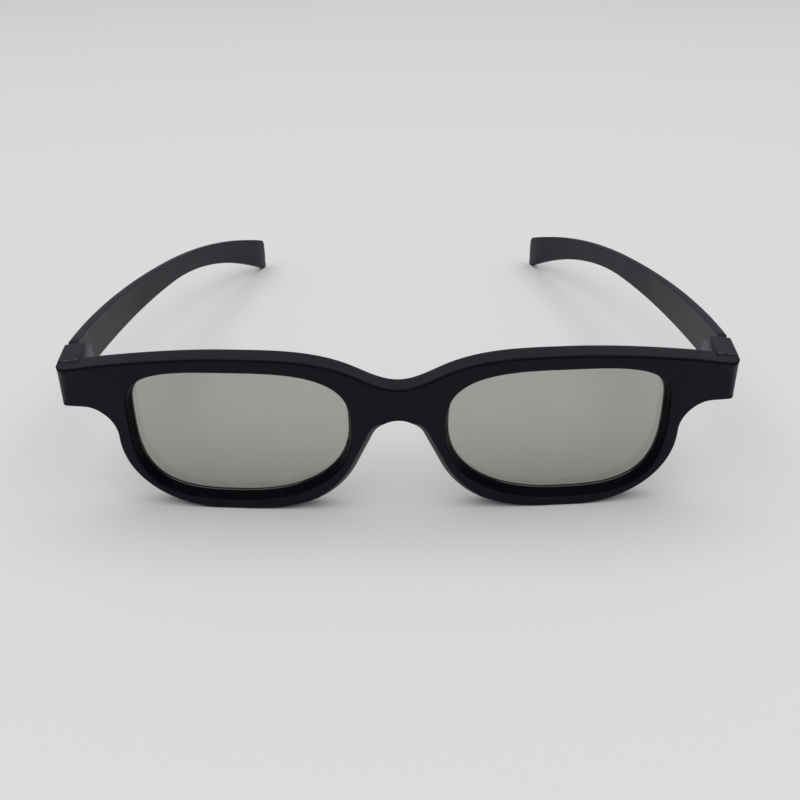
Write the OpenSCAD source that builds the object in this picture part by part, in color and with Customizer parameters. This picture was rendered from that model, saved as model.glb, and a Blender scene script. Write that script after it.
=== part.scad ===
// Folding glasses with two laminated lenses, standing on the rims and the temple tips.
// Millimetres, +Z up, the front faces -Y, the temples run to +Y.
// Origin: on the table, in the middle of the width and of the whole depth.
// Right and left are the wearer's: right is -X, left is +X.

/* [Front] */
// Width across the front corners of the two end pieces, at half their height
front_w = 150.6; // [144:0.2:156]
// Height from the table to the crown of the brow line
front_h = 38.5; // [36.5:0.1:41]
// Thickness of the front, from its front face to its back face
front_t = 5.6; // [5.2:0.1:6.6]
// Radius of the curve that the front follows around the face
wrap_r = 600; // [450:10:1200]
// Fall of the brow line from its crown to the front corners
brow_fall = 3.85; // [3:0.05:4.6]
// Downward pitch of the brow line at the front corners, in degrees
end_pitch = 9; // [4:0.5:12]
// Fall of the brow line from its crown to the middle of the bridge
bridge_dip = 7.2; // [5.5:0.1:8]
// Distance from the middle to where the brow line turns up most
brow_turn_x = 10.5; // [9:0.1:12]
// Height of that turn above the bridge
brow_turn_rise = 3.7; // [3:0.1:4.4]
// Pitch of the brow line at that turn, in degrees
brow_pitch = 24; // [18:1:28]
// Height of the bridge at the middle
bridge_h = 7.75; // [6:0.1:9]
// Radius at the top of the nose arch
arch_r = 6.3; // [5.4:0.1:6.8]
// Lean of the nose flanks from upright, in degrees
flank_lean = 26; // [22:1:29]
// Height at which the nose flanks run out into the rims
flank_foot_z = 12; // [10:0.1:13.5]
// Height of the brow bar above the lens pocket
brow_w = 3.45; // [2.8:0.05:4.4]
// Height of the rim below the lens pocket
rim_low = 2.45; // [2:0.05:3.4]
// Width of the rim on the temple side of the lens pocket
rim_side = 2.75; // [2.4:0.05:3.6]
// Length of the flat that each rim rests on
rest_len = 8; // [5:0.5:11]

/* [Nose pads] */
// Width of a pad, across the nose flank
pad_w = 2.3; // [2:0.05:2.4]
// How far a pad stands proud of the nose flank
pad_proud = 0.55; // [0.3:0.05:0.8]
// How far a pad reaches behind the back of the front
pad_reach = 4.2; // [3:0.1:6]
// Length of a pad along the nose flank
pad_len = 11; // [8:0.1:12]
// Height of a pad's lower end
pad_low_z = 9.6; // [9:0.1:11]
// Heading at which a pad rises from the front at both ends, in degrees
pad_rise = 55; // [40:1:75]

/* [End pieces] */
// Height of an end piece at its front corner
end_h = 9; // [8.4:0.1:10.4]
// Length of an end piece, from the rim to the front corner
end_len = 12.35; // [10.8:0.05:13]
// Radius of the hollow curve under an end piece
end_hollow = 7.4; // [5:0.1:9]
// Reach of the hinge block behind the front corner
end_depth = 13.1; // [12:0.1:14.5]
// Radius of the upright front corner
end_round = 3.4; // [2:0.1:4]
// Lean of the outer wall, out at its top, in degrees
end_lean = 4; // [0:0.5:6]
// Thickness of the hinge block's outer wall
end_wall = 1.3; // [0.9:0.05:1.6]
// Thickness of each hinge ear
ear_t = 1.3; // [1.1:0.05:1.7]
// Width of the ear on the inner side of the pin
ear_land = 1.1; // [0.8:0.05:1.5]
// Outward heading of the end pieces and of the temple roots, in degrees
splay = 5.2; // [2.5:0.1:6.2]

/* [Lenses] */
// Distance between the two lens openings, lip to lip
lens_gap = 22.4; // [21.6:0.1:25]
// Distance of a lens opening's crown from its nose side
eye_crown = 25.8; // [22:0.1:28]
// Height of the opening's widest place on the nose side, above its lowest point
eye_nose_level = 17.7; // [15:0.1:20]
// Height of the opening's widest place on the temple side, above its lowest point
eye_temple_level = 21.2; // [18:0.1:23]
// Squareness of the opening's upper corner on the temple side
square_up_temple = 3.4; // [2.4:0.1:4]
// Squareness of the opening's upper corner on the nose side
square_up_nose = 3.1; // [2.4:0.1:3.6]
// Squareness of the opening's lower corner on the nose side
square_low_nose = 2.25; // [2:0.05:2.7]
// Squareness of the opening's lower corner on the temple side
square_low_temple = 3.15; // [2.3:0.05:3.2]
// Width of the lip that stands inside the lens pocket
lip_w = 0.7; // [0.4:0.05:1]
// Thickness of the lip
lip_t = 0.6; // [0.4:0.05:0.9]
// How far the lens films reach under the lip
film_seat = 1.45; // [1.2:0.05:1.6]
// Thickness of the front cover film
front_film_t = 0.2; // [0.12:0.01:0.3]
// Thickness of the retarder film
retarder_t = 0.1; // [0.08:0.01:0.16]
// Thickness of the polariser film
polariser_t = 0.15; // [0.1:0.01:0.25]
// Thickness of the rear cover film
rear_film_t = 0.3; // [0.2:0.01:0.4]
// Thickness of the bond line between two films
bond_t = 0.02; // [0.02:0.005:0.04]
// Thickness of the retainer ring behind the films
retainer_t = 0.85; // [0.6:0.05:1.1]
// How far the ring's inner edge stands back from the lip's edge
retainer_back = 0.9; // [0.5:0.05:0.95]
// Clearance around the films and around the ring
seat_gap = 0.1; // [0.05:0.01:0.15]

/* [Temples] */
// Distance from the front of the bridge to where the tips rest on the table
tip_y = 153; // [140:0.5:160]
// Radius of the temple's outer face seen from above
bow_r = 248; // [238:1:400]
// Thickness of the temple blade
blade_t = 2.2; // [1.9:0.05:2.8]
// Step from the hinge block's outer wall in to the temple's outer face
root_step = 0.2; // [0.1:0.05:1]
// Fall from the top of the front corner to the top of the blade
root_drop = 0; // [0:0.05:1.2]
// Fall from the underside of the knuckle to the lower edge of the blade
root_sink = 1.45; // [0.2:0.05:1.5]
// Downward heading of the blade's upper edge at the hinge, in degrees
root_fall_top = 8.5; // [6:0.5:10]
// Downward heading of the blade's lower edge at the hinge, in degrees
root_fall_low = 12; // [9:0.5:13.5]
// Distance from the front of the bridge to the narrowest place of the blade
waist_y = 97; // [90:0.5:104]
// Height of the blade's upper edge at its narrowest place
waist_top_z = 24.3; // [22.5:0.1:26.5]
// Height of the blade at its narrowest place
waist_h = 6.5; // [5.5:0.1:7.3]
// Downward heading of the upper edge there, in degrees
waist_fall_top = 7.5; // [6:0.5:10]
// Downward heading of the lower edge there, in degrees
waist_fall_low = 3.5; // [2:0.5:6]
// Downward heading of the upper edge at the tip, in degrees
tip_fall_top = 23; // [19:0.5:27]
// Downward heading of the lower edge at the tip, in degrees
tip_fall_low = 31; // [27:0.5:35]
// Lean of the tip's end, its lower corner further back, in degrees
tip_lean = 6; // [0:0.5:10]
// Length of the straight end between the tip's two corners
tip_h = 6; // [5:0.1:7]
// Radius of the tip's upper corner
tip_top_r = 3.4; // [2.4:0.1:3.8]
// Radius of the tip's lower corner
tip_low_r = 1.8; // [1.2:0.1:2.4]

/* [Hinges] */
// Radius of a hinge pin
pin_r = 0.9; // [0.7:0.05:1]
// Depth of the pin's seat in the upper ear
pin_seat = 0.8; // [0.5:0.05:0.9]
// Recess of the pin's end in the lower ear
pin_recess = 0.2; // [0.1:0.05:0.4]
// Running clearance between the pin and the temple's bore
pin_gap = 0.05; // [0.03:0.01:0.08]
// Radius of the temple's knuckle around the pin
knuckle_r = 1.8; // [1.7:0.05:2]
// Distance of the pin from the end piece's outer face
pin_inset = 3.85; // [3.6:0.05:4.3]
// Clearance between the knuckle and the walls around it
knuckle_gap = 0.25; // [0.15:0.05:0.35]
// Clearance between the knuckle and each ear
ear_gap = 0.2; // [0.1:0.05:0.3]
// Clearance at the open stop, between temple shoulder and outer wall
stop_gap = 0.15; // [0.1:0.05:0.25]
// Distance from the open stop to the full height of the blade
shoulder_len = 1.1; // [0.9:0.1:1.8]
// Length over which the knuckle's inner side runs out into the blade
boss_len = 12.5; // [9:0.5:16]

/* [Hidden] */
// Which sub-part is drawn
RIGHT = -1;
LEFT = 1;

// Fineness of the outlines and of the round faces
curve_steps = 12;
eye_steps = 96;
arc_steps = 8;
round_fn = 48;
wrap_fn = 720;
// Room by which a cutting shape passes what it cuts
over = 1;

// Depths behind the front face
film_stack = front_film_t + retarder_t + polariser_t + rear_film_t + 4 * bond_t;
retainer_front = front_t - retainer_t;
lip_back = retainer_front - film_stack - bond_t;
pocket_depth = lip_back - lip_t;
front_film_at = lip_back + bond_t;
retarder_at = front_film_at + front_film_t + bond_t;
polariser_at = retarder_at + retarder_t + bond_t;
rear_film_at = polariser_at + polariser_t + bond_t;

// Lens opening at the lip, on the +X side
corner_x = front_w / 2;
rim_x = corner_x - end_len;
eye_x0 = lens_gap / 2;
eye_x1 = rim_x - rim_side - lip_w;
eye_z0 = rim_low + lip_w;
eye_z1 = front_h - brow_w - lip_w;
eye_mid_x = eye_x0 + eye_crown;

// Heights of the front
bridge_top = front_h - bridge_dip;
arch_mid_z = bridge_top - bridge_h - arch_r;
end_top = front_h - brow_fall;
end_low = end_top - end_h;
ear_low = end_low + ear_t;
ear_high = end_top - ear_t;

// Depth of the front face and of the layers behind it at a place across the front
function layer_y(x, behind) = wrap_r - sqrt(pow(wrap_r - behind, 2) - x * x);

// Outer wall of an end piece seen from above
end_round_mid = [corner_x - end_round, layer_y(corner_x - end_round, 0) + end_round];
end_wall_foot = end_round_mid + end_round * [cos(splay), -sin(splay)];
function wall_x(y) = end_wall_foot[0] + (y - end_wall_foot[1]) * tan(splay);
function wall_in_x(y) = wall_x(y) - end_wall;
block_back = layer_y(corner_x, 0) + end_depth;
past_end_x = wall_x(block_back) + over;
past_end_top = end_top - (past_end_x - corner_x) * tan(end_pitch);

// Hinge pin: the knuckle just clears the back of the front when the temple folds
pin_x = wall_x(block_back) - pin_inset;
pin_y = layer_y(pin_x, front_t) + knuckle_r + knuckle_gap;
ear_in_x = pin_x - pin_r - ear_land;
block_front = layer_y(ear_in_x, retainer_front);
knuckle_low = ear_low + ear_gap;
knuckle_high = ear_high - ear_gap;
shoulder_y = block_back + stop_gap;

// Temple stations: upper and lower edge at the hinge, at the waist and at the tip
blade_y = shoulder_y + shoulder_len;
root_top_z = end_top - root_drop;
root_low_z = knuckle_low - root_sink;
tip_low_mid = [tip_y, tip_low_r];
tip_top_mid = tip_low_mid + (tip_low_r - tip_top_r) * unit(tip_lean) + tip_h * unit(90 + tip_lean);
depth = tip_y + tip_low_r;
bow_mid = [wall_x(block_back) - root_step - bow_r * cos(splay), block_back + bow_r * sin(splay)];
boss_end_y = pin_y + boss_len;
boss_end_x = bow_mid[0] + sqrt(pow(bow_r - blade_t / 2, 2) - pow(boss_end_y - bow_mid[1], 2));

function unit(a) = [cos(a), sin(a)];
function turned(a, b) = abs((b - a + 540) % 360 - 180);

// Fair curve from p at heading a to q at heading b, its handles as on a round arc; q is left out
function curve(p, a, q, b) =
    let (
        bend = turned(a, b),
        share = bend < 1 ? 1 / 3 : 2 / 3 * tan(bend / 4) / sin(bend / 2),
        reach = share * norm(q - p),
        c = p + reach * unit(a),
        d = q - reach * unit(b)
    )
    [for (i = [0 : curve_steps - 1])
        let (t = i / curve_steps, u = 1 - t)
        u * u * u * p + 3 * u * u * t * c + 3 * u * t * t * d + t * t * t * q];

function arc(mid, r, a, b) = [for (i = [0 : arc_steps]) mid + r * unit(a + (b - a) * i / arc_steps)];

// Closed outline moved outwards by d, for points that run anticlockwise
function grow(points, d) =
    let (n = len(points))
    [for (i = [0 : n - 1])
        let (
            v = points[(i + 1) % n] - points[(i + n - 1) % n],
            w = v / norm(v)
        )
        points[i] + d * [w[1], -w[0]]];

// Lens opening: four quarters of superellipses that meet at the crown line and at the widest places
function power(v, e) = sign(v) * pow(abs(v), e);
function eye_point(a) =
    let (
        out = cos(a) >= 0,
        up = sin(a) >= 0,
        level = eye_z0 + (out ? eye_temple_level : eye_nose_level),
        wide = out ? eye_x1 - eye_mid_x : eye_crown,
        high = up ? eye_z1 - level : level - eye_z0,
        square = up ? (out ? square_up_temple : square_up_nose)
            : (out ? square_low_temple : square_low_nose)
    )
    [eye_mid_x + wide * power(cos(a), 2 / square), level + high * power(sin(a), 2 / square)];
lip_edge = [for (i = [0 : eye_steps - 1]) eye_point(360 * i / eye_steps)];

// Front outline, +X half, from the bridge over the brow and the rim to the nose arch
brow_turn = [brow_turn_x, bridge_top + brow_turn_rise];
brow_crown = [eye_mid_x, front_h];
rest_out = [eye_mid_x + rest_len / 2, 0];
rest_in = [eye_mid_x - rest_len / 2, 0];
arch_mid = [0, arch_mid_z];
flank_top = arch_mid + arch_r * unit(flank_lean);
function flank_x(z) = flank_top[0] + (flank_top[1] - z) * tan(flank_lean);
flank_foot = [flank_x(flank_foot_z), flank_foot_z];
half_outline = concat(
    curve([0, bridge_top], 0, brow_turn, brow_pitch),
    curve(brow_turn, brow_pitch, brow_crown, 0),
    curve(brow_crown, 0, [corner_x, end_top], -end_pitch),
    [[corner_x, end_top], [past_end_x, past_end_top], [past_end_x, end_low]],
    curve([rim_x + end_hollow, end_low], 180, [rim_x, end_low - end_hollow], 270),
    curve([rim_x, end_low - end_hollow], 270, rest_out, 180),
    [rest_out],
    curve(rest_in, 180, flank_foot, 90 + flank_lean),
    [flank_foot],
    arc(arch_mid, arch_r, flank_lean, 90)
);
half_count = len(half_outline);
front_outline = concat(
    half_outline,
    [for (i = [half_count - 2 : -1 : 1]) [-half_outline[i][0], half_outline[i][1]]]
);

// Everything that lies outside the outer wall of an end piece, seen from above
end_cut_plan = concat(
    [[corner_x - end_round, -over]],
    arc(end_round_mid, end_round, -90, -splay),
    [
        [wall_x(block_back + over), block_back + over],
        [past_end_x + over, block_back + over],
        [past_end_x + over, -over]
    ]
);

// Temple seen from the side, from the hinge along the lower edge to the tip and back
temple_outline = concat(
    curve([blade_y, root_low_z], -root_fall_low, [waist_y, waist_top_z - waist_h], -waist_fall_low),
    curve([waist_y, waist_top_z - waist_h], -waist_fall_low,
        tip_low_mid + tip_low_r * unit(-90 - tip_fall_low), -tip_fall_low),
    arc(tip_low_mid, tip_low_r, -90 - tip_fall_low, tip_lean),
    arc(tip_top_mid, tip_top_r, tip_lean, 90 - tip_fall_top),
    curve(tip_top_mid + tip_top_r * unit(90 - tip_fall_top), 180 - tip_fall_top,
        [waist_y, waist_top_z], 180 - waist_fall_top),
    curve([waist_y, waist_top_z], 180 - waist_fall_top, [blade_y, root_top_z], 180 - root_fall_top),
    [[blade_y, root_top_z]]
);

// Knuckle, tongue and shoulder of a temple seen from above
function tongue_x(y) = wall_in_x(y) - knuckle_gap;
boss_plan = [
    [pin_x - knuckle_r, pin_y],
    [tongue_x(pin_y), pin_y],
    [tongue_x(shoulder_y), shoulder_y],
    [past_end_x, shoulder_y],
    [past_end_x, boss_end_y],
    [boss_end_x, boss_end_y]
];

// Nose pad seen from the side, its length along the nose flank
pad_root_y = retainer_front;
pad_back_y = front_t + pad_reach;
pad_outline = concat(
    [[pad_root_y, 0]],
    curve([front_t, 0], 90 - pad_rise, [pad_back_y, pad_len / 2], 90),
    curve([pad_back_y, pad_len / 2], 90, [front_t, pad_len], 90 + pad_rise),
    [[front_t, pad_len], [pad_root_y, pad_len]]
);

module place() {
    translate([0, -depth / 2, 0]) children();
}

module on_side(side) {
    if (side == LEFT) children();
    else mirror([1, 0, 0]) children();
}

// Outline in the XZ plane, carried along Y
module along_y(points, y0, y1) {
    translate([0, y1, 0]) rotate([90, 0, 0]) linear_extrude(y1 - y0) polygon(points);
}

// Outline in the YZ plane, carried along X
module along_x(points, x0, x1) {
    translate([x0, 0, 0]) rotate([90, 0, 90]) linear_extrude(x1 - x0) polygon(points);
}

// Outline in the XY plane, carried along Z
module along_z(points, z0, z1) {
    translate([0, 0, z0]) linear_extrude(z1 - z0) polygon(points);
}

// All that lies deeper than a layer of the front
module behind(layer) {
    translate([0, wrap_r, -over]) cylinder(r = wrap_r - layer, h = front_h + 2 * over, $fn = wrap_fn);
}

// A curved sheet of the front between two depths, with the given outline
module sheet(points, from, to) {
    difference() {
        intersection() {
            along_y(points, -over, block_back + over);
            behind(from);
        }
        behind(to);
    }
}

module lens_cut() {
    along_y(lip_edge, -over, block_back + over);
    difference() {
        along_y(grow(lip_edge, lip_w), -over, block_back + over);
        behind(pocket_depth);
    }
    intersection() {
        along_y(grow(lip_edge, film_seat + seat_gap), -over, block_back + over);
        behind(lip_back);
    }
}

module nose_pad() {
    translate([flank_x(pad_low_z), 0, pad_low_z]) rotate([0, -flank_lean, 0])
        along_x(pad_outline, -pad_proud, pad_w - pad_proud);
}

// Hinge block: the end piece's own outline, carried back behind the front
module hinge_block() {
    intersection() {
        along_y(front_outline, block_front, block_back);
        along_z([
            [ear_in_x, block_front],
            [past_end_x, block_front],
            [past_end_x, block_back],
            [ear_in_x, block_back]
        ], 0, front_h);
    }
}

module end_cut() {
    translate([corner_x, 0, (end_low + end_top) / 2]) rotate([0, end_lean, 0])
        translate([-corner_x, 0, 0]) along_z(end_cut_plan, -end_h, end_h);
}

module hinge_cut() {
    front_y = pin_y - knuckle_r - knuckle_gap;
    along_z([
        [ear_in_x - over, front_y],
        [wall_in_x(front_y), front_y],
        [wall_in_x(block_back + over), block_back + over],
        [ear_in_x - over, block_back + over]
    ], ear_low, ear_high);
    translate([pin_x, pin_y, 0]) cylinder(r = pin_r, h = ear_high + pin_seat, $fn = round_fn);
}

module front_frame() {
    color([0.08, 0.08, 0.09]) place() difference() {
        union() {
            sheet(front_outline, 0, front_t);
            for (side = [RIGHT, LEFT]) on_side(side) {
                hinge_block();
                nose_pad();
            }
        }
        for (side = [RIGHT, LEFT]) on_side(side) {
            lens_cut();
            end_cut();
            hinge_cut();
        }
    }
}

module film(side, at, thick) {
    place() on_side(side) sheet(grow(lip_edge, film_seat), at, at + thick);
}

module front_film(side) {
    color([0.62, 0.63, 0.62, 0.5]) film(side, front_film_at, front_film_t);
}

module retarder_film(side) {
    color([0.7, 0.72, 0.68, 0.5]) film(side, retarder_at, retarder_t);
}

module polariser_film(side) {
    color([0.4, 0.41, 0.4, 0.6]) film(side, polariser_at, polariser_t);
}

module rear_film(side) {
    color([0.62, 0.63, 0.62, 0.5]) film(side, rear_film_at, rear_film_t);
}

module lens_retainer(side) {
    color([0.1, 0.1, 0.11]) place() on_side(side) difference() {
        sheet(grow(lip_edge, film_seat), retainer_front, front_t);
        along_y(grow(lip_edge, retainer_back), -over, block_back + over);
    }
}

module temple(side) {
    color([0.14, 0.14, 0.15]) place() on_side(side) difference() {
        union() {
            difference() {
                intersection() {
                    along_x(temple_outline, 0, past_end_x + over);
                    translate([bow_mid[0], bow_mid[1], 0]) cylinder(r = bow_r, h = front_h, $fn = wrap_fn);
                }
                translate([bow_mid[0], bow_mid[1], -over])
                    cylinder(r = bow_r - blade_t, h = front_h + 2 * over, $fn = wrap_fn);
            }
            intersection() {
                along_z(boss_plan, knuckle_low, knuckle_high);
                translate([bow_mid[0], bow_mid[1], 0]) cylinder(r = bow_r, h = front_h, $fn = wrap_fn);
            }
            translate([pin_x, pin_y, knuckle_low])
                cylinder(r = knuckle_r, h = knuckle_high - knuckle_low, $fn = round_fn);
        }
        translate([pin_x, pin_y, 0]) cylinder(r = pin_r + pin_gap, h = front_h, $fn = round_fn);
    }
}

module hinge_pin(side) {
    color([0.62, 0.62, 0.64]) place() on_side(side) translate([pin_x, pin_y, end_low + pin_recess])
        cylinder(r = pin_r, h = ear_high + pin_seat - end_low - pin_recess, $fn = round_fn);
}

front_frame();
front_film(RIGHT);  // right_front_film
retarder_film(RIGHT);  // right_retarder_film
polariser_film(RIGHT);  // right_polariser_film
rear_film(RIGHT);  // right_rear_film
front_film(LEFT);  // left_front_film
retarder_film(LEFT);  // left_retarder_film
polariser_film(LEFT);  // left_polariser_film
rear_film(LEFT);  // left_rear_film
lens_retainer(RIGHT);  // right_lens_retainer
lens_retainer(LEFT);  // left_lens_retainer
temple(RIGHT);  // right_temple
temple(LEFT);  // left_temple
hinge_pin(RIGHT);  // right_hinge_pin
hinge_pin(LEFT);  // left_hinge_pin
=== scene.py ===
import math

import bmesh
import bpy
from mathutils import Matrix, Vector


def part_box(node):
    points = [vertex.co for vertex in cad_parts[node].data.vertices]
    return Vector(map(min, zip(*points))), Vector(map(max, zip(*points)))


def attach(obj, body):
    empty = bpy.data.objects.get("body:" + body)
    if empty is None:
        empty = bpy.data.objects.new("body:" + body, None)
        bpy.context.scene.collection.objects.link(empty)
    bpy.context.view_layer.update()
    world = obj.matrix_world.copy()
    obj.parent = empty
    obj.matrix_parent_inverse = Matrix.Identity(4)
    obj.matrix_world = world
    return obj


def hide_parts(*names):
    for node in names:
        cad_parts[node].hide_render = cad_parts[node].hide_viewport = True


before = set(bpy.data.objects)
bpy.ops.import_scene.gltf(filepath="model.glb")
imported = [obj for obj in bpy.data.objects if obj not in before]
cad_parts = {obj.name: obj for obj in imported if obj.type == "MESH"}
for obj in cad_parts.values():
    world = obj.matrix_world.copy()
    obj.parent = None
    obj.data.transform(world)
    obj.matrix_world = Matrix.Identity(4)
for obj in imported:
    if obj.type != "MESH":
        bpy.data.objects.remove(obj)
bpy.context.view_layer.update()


# Front: both rims, the bridge and the two end pieces are one injection moulding in black ABS,
# bent slightly around the face. Each eye opening steps in to a thin lip that frames the lens,
# and each end piece runs back as a hinge block with an upper ear, a lower ear and a side wall.
MM = 0.001
SIDES = {"right": -1, "left": 1}
front_low, front_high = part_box("front_frame")
face_y = front_low.y / MM                # most forward place of the front, at the bridge
front_height = front_high.z / MM
front_width = 150.6                      # across the outer corners of the end pieces, at half their height
front_thick = 5.6
wrap_radius = 600.0

# Outline of the front
bridge_top = Vector((0, front_height - 7.2))
brow_turn = bridge_top + Vector((10.5, 3.7))
brow_pitch = 24
crown_x = 37.0                           # place across of the brow's crown and of the rim's rest
brow_crown = Vector((crown_x, front_height))
corner_x = front_width / 2
rim_x = corner_x - 12.35
end_top = front_height - 3.85
end_low = end_top - 9.0
end_pitch = 9                            # the brow still falls at the front corner
end_lean = 4                             # the outer wall of an end piece leans out at its top
lean_start, lean_end = 3, 1              # from the rim to that lean's start, and from its end to the corner
end_hollow = 7.4
corner_round = 0.35
rest_half = 4.0
flank_lean = 26
flank_foot_z = 12.0
arch_radius = 6.3
arch_mid = bridge_top - Vector((0, 7.75 + arch_radius))

# Lens opening at the lip, how square its four quarters are, and the steps around it
eye_nose_x, eye_temple_x = 11.2, rim_x - 3.45
eye_low, eye_top = 3.15, front_height - 4.15
eye_nose_z, eye_temple_z = eye_low + 17.7, eye_low + 21.2
square_top_nose, square_top_temple = 3.1, 3.4
square_low_nose, square_low_temple = 2.25, 3.15
lip_width = 0.7
lip_bevel = 0.2
seat_width = 1.55
lip_front, lip_back = 3.3, 3.9

# Hinge block
block_depth = 13.1
block_wall = 1.3
block_lean = 5.2
wall_start = 2.82                        # behind the front corner, where the side wall has its width
pin_inset = 3.85
ear_land = 2.0                           # from the pin's middle to the inner edge of the ear
ear_corner = 1.7
block_step = 0.22                        # the top of the front lies this much below the block
block_step_run = 4.0                     # length over which the top of the front falls to that
block_step_at = 4.3                      # from the face back to that step
# Places across that step, front to back
step_foot, step_rise, step_crest, step_end = -0.3, -0.08, 0.15, 0.5
step_share = 0.7                         # share of the step that its steep part rises
step_glint_side, step_glint_top = 0.25, 1.0  # painted highlight along the step, on the side wall and on top

# Web in the corner between an ear and the back of the front
web_reach, web_back = 3.4, 7.4
web_sink, web_lap = 0.3, 0.1             # how far it runs into the front and into the ear
web_rise, web_thick = 0.6, 0.1           # its peak above the end piece, and its height at its front

# Rounded edges
face_edge, back_edge, corner_edge = 0.45, 0.45, 0.7
end_edge_top, end_edge_low = 3.4, 1.2    # the upright corner of an end piece is rounder at its top
flank_edge = 1.1                         # the nose flanks are rounded for comfort
flank_from, flank_fade = 0.5, 0.3        # how squarely an edge faces the nose where that starts, and its fade
eye_edge, eye_edge_depth = 0.7, 0.8
face_wear, seat_wear = 0.3, 0.2
seam, sliver = 0.002, 0.001              # vertices this close are welded, faces this thin are dissolved

# Faces across and along the moulding
EDGE_STEPS = 6
FACE_STRIPS, WALL_STRIPS, BACK_STRIPS = 9, 5, 6
POCKET_PLACES = (0.3, 0.65)
MIDDLE_ROWS = 5
EYE_FINE = 240

# Finishes of the tool, with a painted shade line and a painted highlight among them, in the order of the
# front's materials
GRAINED, POLISHED, COARSE, SHADE_LINE, WEB_HIGHLIGHT, GLOSSY = range(6)


def heading(degrees):
    """Unit vector at an angle."""
    return Vector((math.cos(math.radians(degrees)), math.sin(math.radians(degrees))))


def fair_edge(start, leave, end, arrive, steps):
    """Points of a smooth edge that leaves start and meets end at the given headings; end is left out."""
    bend = abs((arrive - leave + 540) % 360 - 180)
    share = 1 / 3
    if bend >= 1:
        share = 2 / 3 * math.tan(math.radians(bend / 4)) / math.sin(math.radians(bend / 2))
    reach = share * (end - start).length
    first, second = start + reach * heading(leave), end - reach * heading(arrive)
    points = []
    for step in range(steps):
        t = step / steps
        u = 1 - t
        points.append(u**3 * start + 3 * u * u * t * first + 3 * u * t * t * second + t**3 * end)
    return points


def round_edge(middle, radius, first, last, steps):
    """Points of a round corner; its last point is left out."""
    return [middle + radius * heading(first + (last - first) * step / steps) for step in range(steps)]


def straight_edge(start, end, steps):
    """Points of a straight edge; its end is left out."""
    return [start.lerp(end, step / steps) for step in range(steps)]


def outward(points, closed):
    """Unit normals of a clockwise edge, pointing away from what it encloses."""
    count = len(points)
    normals = []
    for place in range(count):
        before = points[place - 1] if closed or place else points[0]
        after = points[(place + 1) % count] if closed or place < count - 1 else points[-1]
        along = (after - before).normalized()
        normals.append(Vector((-along.y, along.x)))
    return normals


def eye_point(angle):
    """Place on the lip of the lens opening: four quarters of superellipses."""
    across, up = math.cos(math.radians(angle)), math.sin(math.radians(angle))
    level = eye_temple_z if across >= 0 else eye_nose_z
    wide = eye_temple_x - crown_x if across >= 0 else crown_x - eye_nose_x
    high = eye_top - level if up >= 0 else level - eye_low
    if up >= 0:
        square = square_top_temple if across >= 0 else square_top_nose
    else:
        square = square_low_temple if across >= 0 else square_low_nose
    return Vector((
        crown_x + wide * math.copysign(abs(across) ** (2 / square), across),
        level + high * math.copysign(abs(up) ** (2 / square), up),
    ))


def eye_run(first, last, count):
    """Evenly spread places on the lip between two angles; the last is left out."""
    fine = [eye_point(first + (last - first) * step / EYE_FINE) for step in range(EYE_FINE + 1)]
    run = [0.0]
    for place in range(EYE_FINE):
        run.append(run[-1] + (fine[place + 1] - fine[place]).length)
    spread, place = [], 0
    for step in range(count):
        goal = run[-1] * step / count
        while run[place + 1] < goal:
            place += 1
        share = (goal - run[place]) / (run[place + 1] - run[place])
        spread.append(fine[place].lerp(fine[place + 1], share))
    return spread


def layer_y(x, depth):
    """Place front to back of a layer of the curved front."""
    return wrap_radius - math.sqrt((wrap_radius - depth) ** 2 - x * x)


def in_frame(x, y, z):
    """A place in millimetres from the front of the bridge, in the shared frame."""
    return Vector((x, y + face_y, z)) * MM


def within(share):
    """A share, kept between 0 and 1."""
    return min(max(share, 0), 1)


flank_top = arch_mid + arch_radius * heading(flank_lean)
flank_foot = Vector((
    flank_top.x + (flank_top.y - flank_foot_z) * math.tan(math.radians(flank_lean)), flank_foot_z
))
arch_top = arch_mid + Vector((0, arch_radius))
top_corner = Vector((corner_x, end_top)) - corner_round * Vector((
    1, 1 / math.cos(math.radians(end_pitch)) - math.tan(math.radians(end_pitch))
))
low_corner = Vector((corner_x - corner_round, end_low + corner_round))
past_corner, under_corner = Vector((corner_round, 0)), Vector((0, -corner_round))
hollow_start = Vector((rim_x + end_hollow, end_low))
hollow_end = Vector((rim_x, end_low - end_hollow))
rest_out, rest_in = Vector((crown_x + rest_half, 0)), Vector((crown_x - rest_half, 0))

# The outer edge of one half, clockwise from the bridge. Each stretch has its number of rows, and the
# angle on the lens opening at which the next stretch begins.
bridge_angle = 158
half_edge = [
    (fair_edge(bridge_top, 0, brow_turn, brow_pitch, 10), 140),
    (fair_edge(brow_turn, brow_pitch, brow_crown, 0, 20), 90),
    (fair_edge(brow_crown, 0, top_corner + corner_round * heading(90 - end_pitch), -end_pitch, 84), 31),
    (round_edge(top_corner, corner_round, 90 - end_pitch, 0, 6), 28),
    (straight_edge(top_corner + past_corner, low_corner + past_corner, 8), 7),
    (round_edge(low_corner, corner_round, 0, -90, 5), 5),
    (straight_edge(low_corner + under_corner, hollow_start, 8), 3),
    (fair_edge(hollow_start, 180, hollow_end, 270, 26), -12),
    (fair_edge(hollow_end, 270, rest_out, 180, 40), -78),
    (straight_edge(rest_out, rest_in, 6), -100),
    (fair_edge(rest_in, 180, flank_foot, 90 + flank_lean, 34), -160),
    (straight_edge(flank_foot, flank_top, 8), -182),
    (round_edge(arch_mid, arch_radius, flank_lean, 90, 10) + [arch_top], -194),
]
edge_points, lip_points = [], []
first = bridge_angle
for points, last in half_edge:
    edge_points += points
    lip_points += eye_run(first, last, len(points))
    first = last
middle_low, middle_high = arch_top + Vector((0, face_edge)), bridge_top - Vector((0, face_edge))
middle_points = straight_edge(middle_low, middle_high, MIDDLE_ROWS + 1)[1:]
lip_points += eye_run(first, bridge_angle - 360, MIDDLE_ROWS)
edge_normals = outward(edge_points, closed=False)
edge_normals[0], edge_normals[-1] = Vector((0, 1)), Vector((0, -1))
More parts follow.
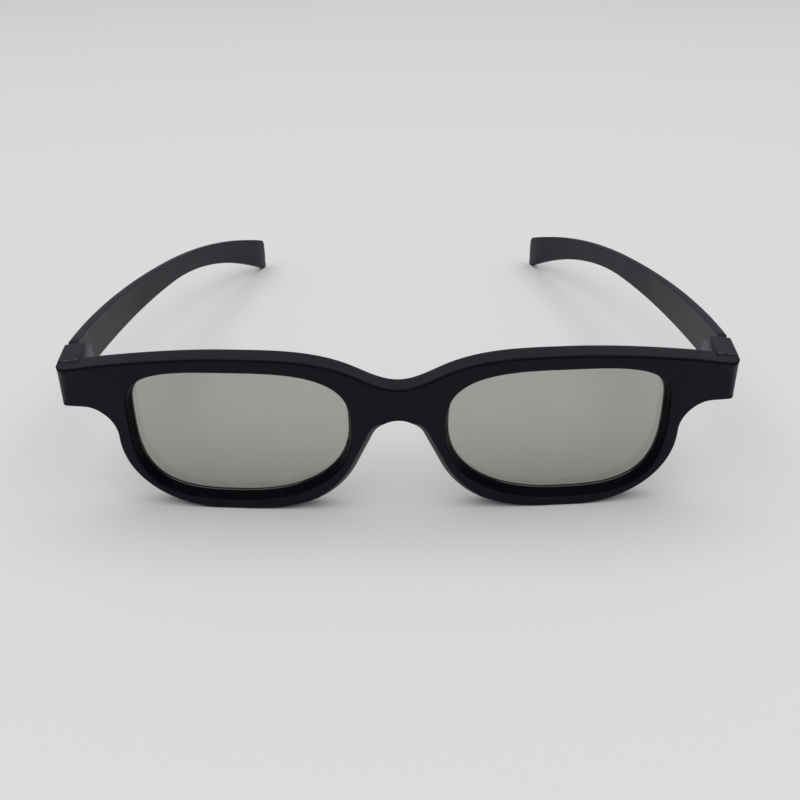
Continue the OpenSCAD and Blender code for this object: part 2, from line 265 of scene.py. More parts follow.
lip_normals = outward(lip_points, closed=True)

block_front_y = layer_y(corner_x, 0)
block_back_y = block_front_y + block_depth
lean = math.tan(math.radians(block_lean))
wall_back_x = corner_x + (block_depth - wall_start) * lean
pin_x = wall_back_x - pin_inset
ear_x = pin_x - ear_land
ear_low_z, ear_high_z = end_low + block_wall, end_top - block_wall
end_middle = (end_low + end_top) / 2


def leaning(x, y, z):
    """The side wall of an end piece leans out at its back and at its top; the rest of the front stays."""
    share = within((x - rim_x - lean_start) / (corner_x - rim_x - (lean_start + lean_end)))
    back = (y - block_front_y - wall_start) * lean
    return x + share * (back + (z - end_middle) * math.tan(math.radians(end_lean)))


def end_edge(z):
    """Radius of the upright corner of an end piece at a height."""
    return end_edge_low + (end_edge_top - end_edge_low) * within((z - end_low) / (end_top - end_low))


def face_at(x, z, depth, slope):
    """Place front to back near the face, which turns back at the upright corner of an end piece."""
    y, radius = layer_y(x, depth), end_edge(z)
    run = x - corner_x + radius
    if run <= 0 or depth > radius:
        return y
    turned = layer_y(corner_x - radius, 0) + radius - math.sqrt(max(radius**2 - run**2, 0))
    return max(y, turned + depth * slope)


def front_row(row, has_block):
    """One section through the moulding, from the lip over the face and the outer edge to the back.

    Gives (point, share of edge wear and painted highlight, finish) for each place, and None where the section
    has no outer edge.
    """
    lip, away = lip_points[row], lip_normals[row]
    eye, seat = lip + lip_width * away, lip + seat_width * away
    outer = row < len(edge_points)
    edge = edge_points[row] if outer else middle_points[row - len(edge_points)]
    normal = edge_normals[row] if outer else Vector((0, 0))
    nose = within((-normal.x - flank_from) / flank_fade)
    round_off = face_edge
    if outer and edge.x > top_corner.x:
        # The upright corner has its full radius from one millimetre inside its ends
        inside = within(min(top_corner.y - edge.y, edge.y - low_corner.y))
        round_off += (corner_edge - face_edge) * abs(normal.x) + (end_edge(edge.y) - corner_edge) * inside
    round_off += (flank_edge - face_edge) * nose
    # Next to the raised block the upper edge is sunk by the height of the step
    sunk = edge
    if normal.y > 0:
        sunk = edge - block_step * within((edge.x - ear_x) / block_step_run + 1) * normal.y * normal
    section = []

    def put(place, depth, wear_and_glint=0.0, finish=GRAINED, y=None, upright=False):
        if y is None:
            y = face_at(place.x, place.y, depth, abs(normal.y))
        x = leaning(place.x, y, end_middle if upright else place.y)
        section.append((in_frame(x, y, place.y), wear_and_glint, finish))

    # The lip, the wall of the eye opening and its rounded edge
    put(lip, lip_back, finish=POLISHED)
    put(lip, lip_front + lip_bevel, finish=GLOSSY)
    bevel = lip + lip_bevel * away
    put(bevel, lip_front, finish=POLISHED)
    for share in POCKET_PLACES:
        put(bevel.lerp(eye, share), lip_front + (eye_edge_depth - lip_front) * share, finish=POLISHED)
    for step in range(EDGE_STEPS + 2):
        turn = math.pi / 2 * step / (EDGE_STEPS + 1)
        place = eye + eye_edge * (1 - math.cos(turn)) * away
        finish = POLISHED if step <= EDGE_STEPS // 2 else GRAINED
        put(place, eye_edge_depth * (1 - math.sin(turn)), face_wear * math.sin(2 * turn), finish)

    # The face
    start, end = eye + eye_edge * away, sunk - round_off * normal
    for step in range(1, FACE_STRIPS):
        put(start.lerp(end, step / FACE_STRIPS), 0)
    rim_finish = GRAINED
    if nose > 0:
        rim_finish = GLOSSY
    # Along the upper edge of the face a dull band paints a shade line
    elif normal.y > 0 and round_off < corner_edge:
        rim_finish = SHADE_LINE
    put(end, 0, finish=rim_finish)

    # The outer edge, with the hinge block where the section has one
    if outer:
        back_y = block_back_y if has_block else layer_y(edge.x, front_thick)
        if has_block and edge.x < ear_x + ear_corner:
            short = ear_corner - (edge.x - ear_x)
            back_y -= ear_corner - math.sqrt(max(ear_corner**2 - short**2, 0))
        for step in range(1, EDGE_STEPS + 1):
            turn = math.pi / 2 * step / EDGE_STEPS
            place = sunk - round_off * (1 - math.sin(turn)) * normal
            finish = rim_finish if step < EDGE_STEPS or nose > 0 else GRAINED
            put(place, round_off * (1 - math.cos(turn)), face_wear * math.sin(2 * turn), finish)
        if has_block:
            step_y = layer_y(edge.x, block_step_at)
            # The step carries a painted highlight line, paler on top than on the side wall
            rub_and_glint = step_glint_side + (step_glint_top - step_glint_side) * max(normal.y, 0)
            put(sunk, 0, y=step_y + step_foot)
            put(sunk.lerp(edge, step_share), 0, rub_and_glint, COARSE, y=step_y + step_rise)
            put(edge, 0, rub_and_glint, COARSE, y=step_y + step_crest)
            put(edge, 0, finish=COARSE, y=step_y + step_end)
        else:
            wall_y = face_at(edge.x, edge.y, round_off, abs(normal.y))
            wall_finish = GLOSSY if nose > 0 else GRAINED
            for step in range(1, WALL_STRIPS):
                y = wall_y + (back_y - back_edge - wall_y) * step / WALL_STRIPS
                put(sunk, 0, finish=wall_finish, y=y)
        behind = COARSE if has_block else GRAINED
        for step in range(EDGE_STEPS + 1):
            turn = math.pi / 2 * step / EDGE_STEPS
            place = (edge if has_block else sunk) - back_edge * (1 - math.cos(turn)) * normal
            put(place, 0, math.sin(2 * turn), behind, y=back_y - back_edge * (1 - math.sin(turn)))
        inner = edge - back_edge * normal
        if has_block:
            inner = Vector((min(edge.x, corner_x - block_wall), min(max(edge.y, ear_low_z), ear_high_z)))
        put(inner, 0, finish=behind, y=back_y, upright=has_block)
        put(inner, front_thick, upright=has_block)
    else:
        outer_places = 2 * EDGE_STEPS + WALL_STRIPS + 1
        section += [None] * outer_places
        inner = edge
        put(inner, front_thick)

    # The back and the seat of the lens
    back_seat = seat + lip_bevel * away
    for step in range(1, BACK_STRIPS):
        put(inner.lerp(back_seat, step / BACK_STRIPS), front_thick)
    put(back_seat, front_thick, seat_wear)
    put(seat, front_thick - lip_bevel, seat_wear)
    put(seat, lip_back, finish=POLISHED)
    return section


front_sections = []
blocked = False
for row in range(len(lip_points)):
    outer = row < len(edge_points)
    has_block = outer and edge_points[row].x >= ear_x
    if outer and has_block != blocked:
        # The inner edge of an ear: the same section twice, without and with the hinge block
        front_sections.append(front_row(row if has_block else row - 1, False))
    front_sections.append(front_row(row, has_block))
    blocked = has_block


def mirrored(spot, side):
    """A place on the left half, put on the side that is asked for."""
    return Vector((side * spot.x, spot.y, spot.z))


web_y = layer_y(ear_x, front_thick) - web_sink
web_plan = [(ear_x - web_lap, web_y + web_back), (ear_x + web_lap, web_y), (ear_x - web_reach, web_y)]
web_top = [end_top + web_rise, ear_high_z + web_thick, ear_high_z + web_thick]

front_form = bmesh.new()
wear_and_glint_layer = front_form.verts.layers.float.new("edge_wear_and_glint")
for side in SIDES.values():
    grid = []
    for section in front_sections:
        made = []
        for spot in section:
            vertex = None
            if spot:
                place, wear_and_glint, _ = spot
                vertex = front_form.verts.new(mirrored(place, side))
                vertex[wear_and_glint_layer] = wear_and_glint
            made.append(vertex)
        grid.append(made)
    for row in range(len(grid)):
        before, here = grid[row - 1], grid[row]
        for column in range(len(here)):
            following = (column + 1) % len(here)
            corners = [before[column], here[column], here[following], before[following]]
            if all(corners):
                patch = front_form.faces.new(corners if side > 0 else corners[::-1])
                patch.smooth = True
                _, _, patch.material_index = front_sections[row][column]
    # The web is a small ramp that rises to the back, up to the top of the ear
    crest = [front_form.verts.new(in_frame(side * x, y, z)) for (x, y), z in zip(web_plan, web_top)]
    under = [front_form.verts.new(in_frame(side * x, y, ear_high_z)) for x, y in web_plan]
    web_faces = [front_form.faces.new(crest), front_form.faces.new(under[::-1])]
    # Its top is painted pale grey as a highlight
    web_faces[0].material_index = WEB_HIGHLIGHT
    for place in range(len(crest)):
        wall = [crest[place - 1], crest[place], under[place], under[place - 1]]
        web_faces.append(front_form.faces.new(wall))
    bmesh.ops.recalc_face_normals(front_form, faces=web_faces)
bmesh.ops.remove_doubles(front_form, verts=front_form.verts, dist=seam * MM)
bmesh.ops.dissolve_degenerate(front_form, edges=front_form.edges, dist=sliver * MM)


def keep_piece(form, name):
    """Turns a finished form into an object, with normals that keep broad faces even."""
    mesh = bpy.data.meshes.new(name)
    form.to_mesh(mesh)
    form.free()
    piece = bpy.data.objects.new(name, mesh)
    bpy.context.scene.collection.objects.link(piece)
    even = piece.modifiers.new("even_faces", "WEIGHTED_NORMAL")
    even.weight = 100
    return piece


def add_node(tree, kind, values=(), links=(), **settings):
    """Adds a node with its settings, its socket values and its links."""
    node = tree.nodes.new(kind)
    for name, value in settings.items():
        setattr(node, name, value)
    for socket, value in dict(values).items():
        node.inputs[socket].default_value = value
    for socket, source in dict(links).items():
        tree.links.new(source, node.inputs[socket])
    return node


# Sockets of a mix of two colours
MIX_SHARE, MIX_FIRST, MIX_SECOND, MIX_RESULT = 0, 6, 7, 2


def linear(hex_colour):
    """An sRGB hex value as linear colour."""
    parts = [int(hex_colour[place:place + 2], 16) / 255 for place in (1, 3, 5)]
    return tuple(c / 12.92 if c <= 0.04045 else ((c + 0.055) / 1.055) ** 2.4 for c in parts) + (1.0,)


def per_mm(size):
    """Texture scale of a pattern that repeats about every size millimetres."""
    return 1 / (size * MM)


def moulded_abs(name, deep, pale, worn_and_lit, roughness, shine, grain_depth, grain=0.5):
    """Injection-moulded black ABS: the skin copies the tool, so its spark-eroded grain, the faint
    flow marks and the handled edges are what the eye sees, not the colour of the resin."""
    material = bpy.data.materials.new(name)
    material.use_nodes = True
    tree = material.node_tree
    shader = tree.nodes["Principled BSDF"]
    shader.inputs["IOR"].default_value = 1.53
    shader.inputs["Specular IOR Level"].default_value = shine
    spot = {"Vector": add_node(tree, "ShaderNodeTexCoord").outputs["Object"]}
    flow_marks = {"Scale": per_mm(14), "Detail": 3, "Distortion": 0.6}
    flow = add_node(tree, "ShaderNodeTexNoise", flow_marks, spot).outputs["Fac"]
    flecks = {"Scale": per_mm(1.6), "Detail": 4, "Roughness": 0.6}
    fleck = add_node(tree, "ShaderNodeTexNoise", flecks, spot).outputs["Fac"]
    # The real grain is about 0.1 mm; drawn coarser so that it shows
    teeth = {"Scale": per_mm(grain), "Detail": 2, "Roughness": 0.55}
    tooth = add_node(tree, "ShaderNodeTexNoise", teeth, spot).outputs["Fac"]
    mottle = add_node(tree, "ShaderNodeMath", {1: 0.5}, {0: flow, 2: fleck}, operation="MULTIPLY_ADD")
    tone = add_node(
        tree, "ShaderNodeMix", {MIX_FIRST: linear(deep), MIX_SECOND: linear(pale)},
        {MIX_SHARE: mottle.outputs[0]}, data_type="RGBA",
    )
    # Worn edges lighten towards the pale colour; the same attribute also paints highlights on the step of the
    # hinge block and at the end of the temple's tip
    edge = add_node(tree, "ShaderNodeAttribute", attribute_name="edge_wear_and_glint").outputs["Fac"]
    rub_and_sheen = add_node(tree, "ShaderNodeMapRange", {"From Min": 0.42, "From Max": 0.68}, {"Value": fleck})
    rub_and_glint = add_node(tree, "ShaderNodeMath", {}, {0: edge, 1: rub_and_sheen.outputs[0]}, operation="MULTIPLY")
    colour = add_node(
        tree, "ShaderNodeMix", {MIX_SECOND: linear(worn_and_lit)},
        {MIX_SHARE: rub_and_glint.outputs[0], MIX_FIRST: tone.outputs[MIX_RESULT]}, data_type="RGBA",
    )
    tree.links.new(colour.outputs[MIX_RESULT], shader.inputs["Base Color"])
    gloss = add_node(
        tree, "ShaderNodeMapRange",
        {"From Min": 0.3, "From Max": 0.7, "To Min": roughness - 0.03, "To Max": roughness + 0.04},
        {"Value": flow},
    )
    tree.links.new(gloss.outputs[0], shader.inputs["Roughness"])
    relief = {"Strength": 0.5, "Distance": grain_depth * MM}
    skin = add_node(tree, "ShaderNodeBump", relief, {"Height": tooth})
    tree.links.new(skin.outputs[0], shader.inputs["Normal"])
    return material


# Most of the tool has a fine spark-eroded skin, which gives an even satin black with a trace of blue
grained_abs = moulded_abs(
    "black_abs_spark_eroded", deep="#04060d", pale="#080b15", worn_and_lit="#22252f",
    roughness=0.36, shine=0.13, grain_depth=0.02,
)
# The tool is polished where the lens sits, so these walls have hardly any grain and stay deep black
polished_abs = moulded_abs(
    "black_abs_polished", deep="#05060c", pale="#080a11", worn_and_lit="#0d0f16",
    roughness=0.38, shine=0.028, grain_depth=0.004, grain=0.8,
)
# The hinge blocks are formed by slides whose spark-eroded skin is coarser, so they look duller and paler
# Its pale worn colour also paints the highlight along the step of the block
coarse_abs = moulded_abs(
    "black_abs_coarse_eroded", deep="#0f1116", pale="#15171d", worn_and_lit="#4a4d54",
    roughness=0.42, shine=0.22, grain_depth=0.03,
)
# A dull black band of painted shade runs along the upper edge of the face
shade_line_abs = moulded_abs(
    "black_abs_painted_shade_line", deep="#040509", pale="#07080d", worn_and_lit="#0b0c11",
    roughness=0.55, shine=0.06, grain_depth=0.02,
)
# A pale grey painted highlight on the top of the web
web_highlight_abs = moulded_abs(
    "black_abs_painted_highlight", deep="#45474d", pale="#53555b", worn_and_lit="#5c5e64",
    roughness=0.5, shine=0.35, grain_depth=0.03,
)
# The nose flanks and the bevel of the lip come from mirror-bright steel, so they catch a thin pale line
glossy_abs = moulded_abs(
    "black_abs_high_gloss", deep="#05060a", pale="#08090d", worn_and_lit="#0d0e13",
    roughness=0.1, shine=0.8, grain_depth=0.002, grain=0.8,
)

front_moulding = keep_piece(front_form, "front_moulding")
for finish in (grained_abs, polished_abs, coarse_abs, shade_line_abs, web_highlight_abs, glossy_abs):
    front_moulding.data.materials.append(finish)
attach(front_moulding, "front")
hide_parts("front_frame")


# Nose pads: two thin fins of the same ABS, moulded in one with the front. They run down the
# flanks of the nose arch, stand a little proud of them and reach back behind the rim.
pad_half = 1.15
pad_proud = 0.55
pad_root, pad_back = 4.75, front_thick + 4.2
pad_length, pad_foot_z, pad_rise = 11.0, 9.6, 55
pad_edge = 0.55
handled_wear, broad_wear = 1.0, 0.2      # on the rounded edges and on the broad faces of a slab


def rounded_rim(form, outline, half, edge, place, side, wear_and_glint, rub_and_glint, calm):
    """The rounded rim of a slab: loops of vertices from one broad face around to the other.

    Takes the outline, half the thickness, the radius of the edges, what puts (a, b, across) on the
    left half, the side, the layer for edge wear and painted highlights, and its share on the edges and on the
    broad faces.
    """
    normals = outward(outline, closed=True)
    turns = [math.pi / 2 * step / EDGE_STEPS for step in range(EDGE_STEPS + 1)]
    levels = [(edge * (1 - math.sin(turn)), half - edge * (1 - math.cos(turn))) for turn in turns]
    levels += [(inset, -across) for inset, across in reversed(levels)]
    loops = []
    for level, (inset, across) in enumerate(levels):
        loop = []
        for point, normal in zip(outline, normals):
            spot = point - inset * normal
            vertex = form.verts.new(mirrored(place(spot.x, spot.y, across), side))
            vertex[wear_and_glint] = rub_and_glint if 0 < level % (EDGE_STEPS + 1) < EDGE_STEPS else calm
            loop.append(vertex)
        loops.append(loop)
    for first, second in zip(loops, loops[1:]):
        for at in range(len(outline)):
            form.faces.new([first[at - 1], first[at], second[at], second[at - 1]])
    return loops


def rounded_slab(form, outline, half, edge, place, side, wear_and_glint):
    """A closed slab with rounded edges."""
    loops = rounded_rim(form, outline, half, edge, place, side, wear_and_glint, handled_wear, broad_wear)
    form.faces.new(loops[0])
    form.faces.new(loops[-1])
    for patch in form.faces:
        patch.smooth = True


pad_crest = Vector((pad_back, pad_length / 2))
pad_low, pad_high = Vector((front_thick, 0)), Vector((front_thick, pad_length))
pad_root_low, pad_root_high = Vector((pad_root, 0)), Vector((pad_root, pad_length))
pad_outline = (
    straight_edge(pad_root_low, pad_low, 2)
    + fair_edge(pad_low, 90 - pad_rise, pad_crest, 90, 12)
    + fair_edge(pad_crest, 90, pad_high, 90 + pad_rise, 12)
    + straight_edge(pad_high, pad_root_high, 2)
    + straight_edge(pad_root_high, pad_root_low, 6)
)[::-1]
pad_foot_x = flank_top.x + (flank_top.y - pad_foot_z) * math.tan(math.radians(flank_lean))
pad_foot = Vector((pad_foot_x, pad_foot_z))
up_flank = heading(90 + flank_lean)
off_flank = heading(flank_lean)


def on_flank(y, along, across):
    """Place on the left nose flank, by its depth, its height along the flank and its place across the pad."""
    spot = pad_foot + along * up_flank + (across + pad_half - pad_proud) * off_flank
    return in_frame(spot.x, y, spot.y)


for side_name, side in SIDES.items():
    pad_form = bmesh.new()
    pad_wear = pad_form.verts.layers.float.new("edge_wear_and_glint")
    rounded_slab(pad_form, pad_outline, pad_half, pad_edge, on_flank, side, pad_wear)
    bmesh.ops.recalc_face_normals(pad_form, faces=pad_form.faces)
    nose_pad = keep_piece(pad_form, side_name + "_nose_pad")
    nose_pad.data.materials.append(grained_abs)
    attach(nose_pad, "front")


# Lenses: each is one laminated sheet of cast film, a grey polariser and a retarder between two
# clear cover films, cut to the opening and laid in from behind against the lip.
lens_front, lens_back = 3.92, 4.73
lens_seat = 1.45
lens_edge = 0.05
lens_half = 20                           # about the distance from the middle of a lens to its edge
LENS_RINGS = 10

lens_film = bpy.data.materials.new("laminated_polariser_film")
lens_film.use_nodes = True
tree = lens_film.node_tree
# Triacetate film is glossy and even; the polariser takes more than half the light and leaves it
# a neutral grey with a trace of yellow
lens_shader = tree.nodes["Principled BSDF"]
lens_shader.inputs["Transmission Weight"].default_value = 1.0
lens_shader.inputs["IOR"].default_value = 1.48
spot = {"Vector": add_node(tree, "ShaderNodeTexCoord").outputs["Object"]}
smears = {"Scale": per_mm(9), "Detail": 5, "Distortion": 1.2}
smear = add_node(tree, "ShaderNodeTexNoise", smears, spot)
smudge = add_node(
    tree, "ShaderNodeMapRange", {"From Min": 0.45, "From Max": 0.8, "To Min": 0.015, "To Max": 0.06},
    {"Value": smear.outputs["Fac"]},
)
tree.links.new(smudge.outputs[0], lens_shader.inputs["Roughness"])
stretch = {"Vector": add_node(tree, "ShaderNodeMapping", {"Scale": (1.0, 1.0, 0.15)}, spot).outputs[0]}
draw = add_node(tree, "ShaderNodeTexNoise", {"Scale": per_mm(5), "Detail": 2}, stretch).outputs["Fac"]
dye = add_node(
    tree, "ShaderNodeMix", {MIX_FIRST: linear("#b3b0a9"), MIX_SECOND: linear("#b9b6af")},
    {MIX_SHARE: draw}, data_type="RGBA",
)
tree.links.new(dye.outputs[MIX_RESULT], lens_shader.inputs["Base Color"])
ripple = add_node(tree, "ShaderNodeBump", {"Strength": 0.15, "Distance": 0.01 * MM}, {"Height": draw})
tree.links.new(ripple.outputs[0], lens_shader.inputs["Normal"])

lens_outline = [point + lens_seat * normal for point, normal in zip(lip_points, lip_normals)]
lens_middle = Vector((crown_x, (eye_low + eye_top) / 2))


def on_lens(side, point, depth):
    """Place on a layer of the curved lens."""
    return in_frame(side * point.x, layer_y(point.x, depth), point.y)


for side_name, side in SIDES.items():
    lens_form = bmesh.new()
    lens_rims = []
    for depth, rim_depth in ((lens_front, lens_front + lens_edge), (lens_back, lens_back - lens_edge)):
        middle = lens_form.verts.new(on_lens(side, lens_middle, depth))
        layers = []
        for ring in range(1, LENS_RINGS + 1):
            share = ring / LENS_RINGS * (1 - lens_edge / lens_half)
            layers.append([(lens_middle.lerp(point, share), depth) for point in lens_outline])
        layers.append([(point, rim_depth) for point in lens_outline])
        rings = [[lens_form.verts.new(on_lens(side, *spot)) for spot in layer] for layer in layers]
        for place in range(len(lens_outline)):
            lens_form.faces.new([middle, rings[0][place - 1], rings[0][place]])
            for first, second in zip(rings, rings[1:]):
                lens_form.faces.new([first[place - 1], second[place - 1], second[place], first[place]])
        lens_rims.append(rings[-1])
    fore, rear = lens_rims
    for place in range(len(lens_outline)):
        lens_form.faces.new([fore[place - 1], rear[place - 1], rear[place], fore[place]])
    for patch in lens_form.faces:
        patch.smooth = True
    bmesh.ops.recalc_face_normals(lens_form, faces=lens_form.faces)
    lens = keep_piece(lens_form, side_name + "_lens")
    lens.data.materials.append(lens_film)
    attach(lens, "front")
    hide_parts(*[f"{side_name}_{layer}_film" for layer in ("front", "retarder", "polariser", "rear")])


# Lens retainers: two flat rings of black ABS, one behind each lens, welded into its seat so that
# they lie flush with the back of the front.

# They come straight from an unpolished tool, so they look flat and a little greyer than the front
retainer_abs = moulded_abs(
    "black_abs_matt", deep="#0c0d10", pale="#131418", worn_and_lit="#1e1f23",
    roughness=0.46, shine=0.25, grain_depth=0.02,
)
for side_name in SIDES:
    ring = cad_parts[side_name + "_lens_retainer"]
    ring.data.materials.clear()
    ring.data.materials.append(retainer_abs)


# Temples: each side arm is one ABS moulding, bowed in plan, slim at the waist, with a paddle tip
# that bends down behind the ear. Its knuckle and stop shoulder run out into the blade inside.
blade_half = 1.1                         # half the thickness of the blade
blade_edge = 0.4
blade_edge_wear = 0.3
bow_radius = 248.0
root_gap, root_inset, root_drop = 1.25, 0.2, 1.25
root_y = block_back_y + root_gap
root_x = wall_back_x - root_inset
root_low, root_top = ear_low_z - root_drop, end_top
root_fall_top, root_fall_low = 8.5, 12
waist_y, waist_top, waist_height = 97.0, 24.3, 6.5
waist_fall_top, waist_fall_low = 7.5, 3.5
tip_y, tip_lean, tip_height = 153.0, 6, 6.0
tip_top_round, tip_low_round = 3.4, 1.8
tip_fall_top, tip_fall_low = 23, 31
tip_roll, tip_roll_depth = 8.0, 1.9      # the tip's end rolls off on its inner side
tip_sheen = 0.5                            # share of painted highlight at that end, on its rolled-off inner side
ROOT_ROWS, TIP_ROWS, ROUND_ROWS, ACROSS_BLADE = 40, 30, 10, 8
bow_middle = Vector((root_x, block_back_y)) - bow_radius * Vector((
    math.cos(math.radians(block_lean)), -math.sin(math.radians(block_lean))
))
tip_low_middle = Vector((tip_y, tip_low_round))
tip_top_middle = (
    tip_low_middle
    + (tip_low_round - tip_top_round) * heading(tip_lean)
    + tip_height * heading(90 + tip_lean)
)
tip_end_y = tip_y + tip_low_round


def blade_side(root, root_fall, waist, waist_fall, middle, radius, away, tip_fall):
    """One long edge of the blade from the root to the end of the tip; away is the heading off that edge."""
    tip_start = middle + radius * heading(away)
    return (
        fair_edge(root, -root_fall, waist, -waist_fall, ROOT_ROWS)
        + fair_edge(waist, -waist_fall, tip_start, -tip_fall, TIP_ROWS)
        + round_edge(middle, radius, away, tip_lean, ROUND_ROWS)
        + [middle + radius * heading(tip_lean)]
    )


lower_edge = blade_side(
    Vector((root_y, root_low)), root_fall_low, Vector((waist_y, waist_top - waist_height)), waist_fall_low,
    tip_low_middle, tip_low_round, -90 - tip_fall_low, tip_fall_low,
)
upper_edge = blade_side(
    Vector((root_y, root_top)), root_fall_top, Vector((waist_y, waist_top)), waist_fall_top,
    tip_top_middle, tip_top_round, 90 - tip_fall_top, tip_fall_top,
)
blade_outline = (
    upper_edge
    + straight_edge(upper_edge[-1], lower_edge[-1], ACROSS_BLADE)[1:]
    + lower_edge[::-1]
    + straight_edge(lower_edge[0], upper_edge[0], ACROSS_BLADE)[1:]
)
blade_normals = outward(blade_outline, closed=True)


def bow_x(y, across):
    """Place across of a layer of the bowed blade; across is outwards from the blade's middle."""
    return bow_middle.x + math.sqrt((bow_radius - blade_half + across) ** 2 - (y - bow_middle.y) ** 2)


def tip_run(y):
    """How far along the rolled-off end of the tip a place lies, from 0 to 1."""
    return within((y - tip_end_y + tip_roll) / tip_roll)


def on_blade(y, z, across):
    """Place on the bowed left blade, whose tip rolls off on its inner side."""
    if across < 0:
        roll = tip_roll_depth * (1 - math.sqrt(1 - tip_run(y) ** 2))
        across -= across / blade_half * roll
    return in_frame(bow_x(y, across), y, z)


# Knuckle, stop shoulder and the boss that runs out along the inside of the blade
knuckle_radius = 1.8
knuckle_gap, ear_gap, wall_gap, shoulder_gap = 0.25, 0.2, 0.25, 0.15
pin_y = layer_y(pin_x, front_thick) + knuckle_radius + knuckle_gap
knuckle_low, knuckle_high = ear_low_z + ear_gap, ear_high_z - ear_gap
knuckle_middle, knuckle_half = (knuckle_low + knuckle_high) / 2, (knuckle_high - knuckle_low) / 2
shoulder_y = block_back_y + shoulder_gap
shoulder_end_y = root_y + 0.3
boss_start_y, boss_start_across = root_y + 0.6, 0.5
boss_end_y, boss_end_across = pin_y + 12.5, 0.2
boss_edge = 0.25


def on_tongue(y):
    """Place on the outer side of the tongue, which runs along the side wall of the hinge block."""
    wall_x = corner_x + (y - block_front_y - wall_start) * lean
    return Vector((wall_x - block_wall - wall_gap, y))


def on_bow(y, across):
    """Place in plan on a layer of the bowed blade."""
    return Vector((bow_x(y, across), y))


def on_boss(x, y, up):
    """Place on the left boss, by its plan and its height from the middle of the knuckle."""
    return in_frame(x, y, knuckle_middle + up)


boss_outline = (
    round_edge(Vector((pin_x, pin_y)), knuckle_radius, 180, 360, 14)
    + [on_tongue(pin_y), on_tongue(shoulder_y)]
    + straight_edge(on_bow(shoulder_y, blade_half), on_bow(shoulder_end_y, blade_half), 3)
    + straight_edge(on_bow(boss_start_y, boss_start_across), on_bow(boss_end_y, boss_end_across), 8)
    + straight_edge(on_bow(boss_end_y, 0), Vector((pin_x - knuckle_radius, pin_y)), 8)
)[::-1]

# Places in the blade's outline where its end, its lower edge and its root begin
end_at = len(upper_edge)
low_at = end_at + ACROSS_BLADE - 1
root_at = low_at + len(lower_edge)
blade_flat = [point - blade_edge * normal for point, normal in zip(blade_outline, blade_normals)]
flat_low = blade_flat[low_at:root_at][::-1]

# An evenly eroded skin without any polish: a dark charcoal with a trace of blue, soft in the light
# Its pale worn colour also paints the highlight at the end of the tip
temple_abs = moulded_abs(
    "charcoal_abs_satin", deep="#0f1119", pale="#13161f", worn_and_lit="#3a3f49",
    roughness=0.47, shine=0.2, grain_depth=0.03,
)
for side_name, side in SIDES.items():
    blade_form = bmesh.new()
    blade_wear_and_glint = blade_form.verts.layers.float.new("edge_wear_and_glint")
    loops = rounded_rim(
        blade_form, blade_outline, blade_half, blade_edge, on_blade, side, blade_wear_and_glint, blade_edge_wear, 0.0
    )
    # The two broad faces, strung between the upper and the lower edge
    for loop, across, rub_and_sheen in ((loops[0], blade_half, 0.0), (loops[-1], -blade_half, tip_sheen)):
        end_line, root_line = loop[end_at:low_at], loop[root_at:][::-1]
        low_line = loop[low_at:root_at][::-1]
        strings = [[loop[0]] + root_line + [low_line[0]]]
        for place in range(1, end_at - 1):
            string = [loop[place]]
            for step in range(1, ACROSS_BLADE):
                spot = blade_flat[place].lerp(flat_low[place], step / ACROSS_BLADE)
                vertex = blade_form.verts.new(mirrored(on_blade(spot.x, spot.y, across), side))
                # A painted highlight, paler towards the end of the tip's inner face
                vertex[blade_wear_and_glint] = rub_and_sheen * tip_run(spot.x)
                string.append(vertex)
            strings.append(string + [low_line[place]])
        strings.append([loop[end_at - 1]] + end_line + [low_line[-1]])
        for first, second in zip(strings, strings[1:]):
            for step in range(ACROSS_BLADE):
                blade_form.faces.new([first[step], first[step + 1], second[step + 1], second[step]])
    rounded_slab(blade_form, boss_outline, knuckle_half, boss_edge, on_boss, side, blade_wear_and_glint)
    bmesh.ops.recalc_face_normals(blade_form, faces=blade_form.faces)
    temple = keep_piece(blade_form, side_name + "_temple_arm")
    temple.data.materials.append(temple_abs)
    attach(temple, side_name + "_arm")
    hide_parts(side_name + "_temple")


# Hinge pins: straight steel pins, cropped and ground, pressed in from below through the lower
# ear and the knuckle into a blind seat in the upper ear.
pin_steel = bpy.data.materials.new("ground_pin_steel")
pin_steel.use_nodes = True
tree = pin_steel.node_tree
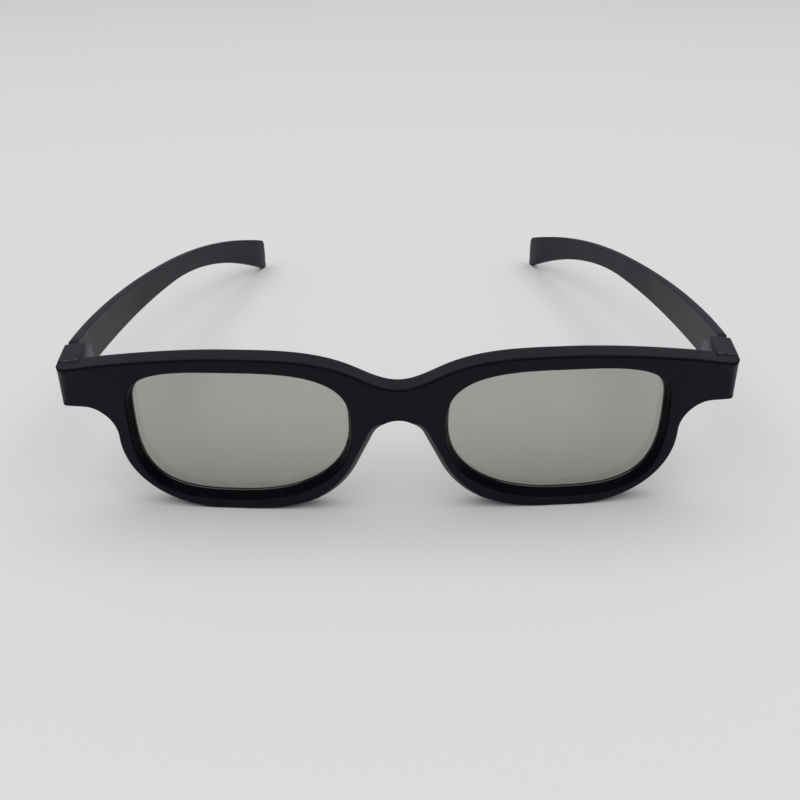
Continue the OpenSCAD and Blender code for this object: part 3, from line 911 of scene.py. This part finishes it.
# Ground bar stock: bright, with fine rings around it from the wheel
steel_shader = tree.nodes["Principled BSDF"]
steel_shader.inputs["Metallic"].default_value = 1.0
spot = {"Vector": add_node(tree, "ShaderNodeTexCoord").outputs["Object"]}
around = {"Vector": add_node(tree, "ShaderNodeMapping", {"Scale": (0.1, 0.1, 1.0)}, spot).outputs[0]}
rings = add_node(tree, "ShaderNodeTexNoise", {"Scale": per_mm(0.2), "Detail": 2}, around).outputs["Fac"]
bright = add_node(tree, "ShaderNodeMapRange", {"To Min": 0.2, "To Max": 0.38}, {"Value": rings})
tree.links.new(bright.outputs[0], steel_shader.inputs["Roughness"])
steel_tone = add_node(
    tree, "ShaderNodeMix", {MIX_FIRST: linear("#a9aaad"), MIX_SECOND: linear("#bfc0c2")},
    {MIX_SHARE: rings}, data_type="RGBA",
)
tree.links.new(steel_tone.outputs[MIX_RESULT], steel_shader.inputs["Base Color"])
for side_name in SIDES:
    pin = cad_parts[side_name + "_hinge_pin"]
    pin.data.materials.clear()
    pin.data.materials.append(pin_steel)


# Table and studio: a sheet of pale matt card under an overhead softbox, seen by a camera a hand's
# breadth above the brow and tipped down at the front. The card has no material of its own, since
# the plain pale grey that Blender gives a bare mesh is what such card looks like.
card_half = 3.0
softbox_place, softbox_tilt = (0.0, -0.15, 1.4), 8
camera_place = (0.4, -189.8, 134.2)
camera_tilt, camera_roll = 61, -0.6

card_form = bmesh.new()
bmesh.ops.create_grid(card_form, x_segments=8, y_segments=8, size=card_half)
card = bpy.data.objects.new("card", bpy.data.meshes.new("card"))
card_form.to_mesh(card.data)
card_form.free()
bpy.context.scene.collection.objects.link(card)

softbox = bpy.data.objects.new("softbox", bpy.data.lights.new("softbox", "AREA"))
softbox.data.shape = "RECTANGLE"
softbox.data.size, softbox.data.size_y = 2.4, 2.6
softbox.data.energy = 20
softbox.location = softbox_place
softbox.rotation_euler = (math.radians(softbox_tilt), 0, 0)
bpy.context.scene.collection.objects.link(softbox)

studio = bpy.data.worlds.new("studio")
studio.use_nodes = True
studio.node_tree.nodes["Background"].inputs["Color"].default_value = linear("#e8e9ec")
studio.node_tree.nodes["Background"].inputs["Strength"].default_value = 0.48
bpy.context.scene.world = studio
bpy.context.scene.view_settings.view_transform = "Standard"

camera = bpy.data.objects.new("camera", bpy.data.cameras.new("camera"))
camera.data.lens = 45.0
camera.data.sensor_width = 36.0
camera.data.clip_start = 0.01
camera.matrix_world = (
    Matrix.Translation(in_frame(*camera_place))
    @ Matrix.Rotation(math.radians(camera_tilt), 4, "X")
    @ Matrix.Rotation(math.radians(camera_roll), 4, "Z")
)
bpy.context.scene.collection.objects.link(camera)
bpy.context.scene.camera = camera
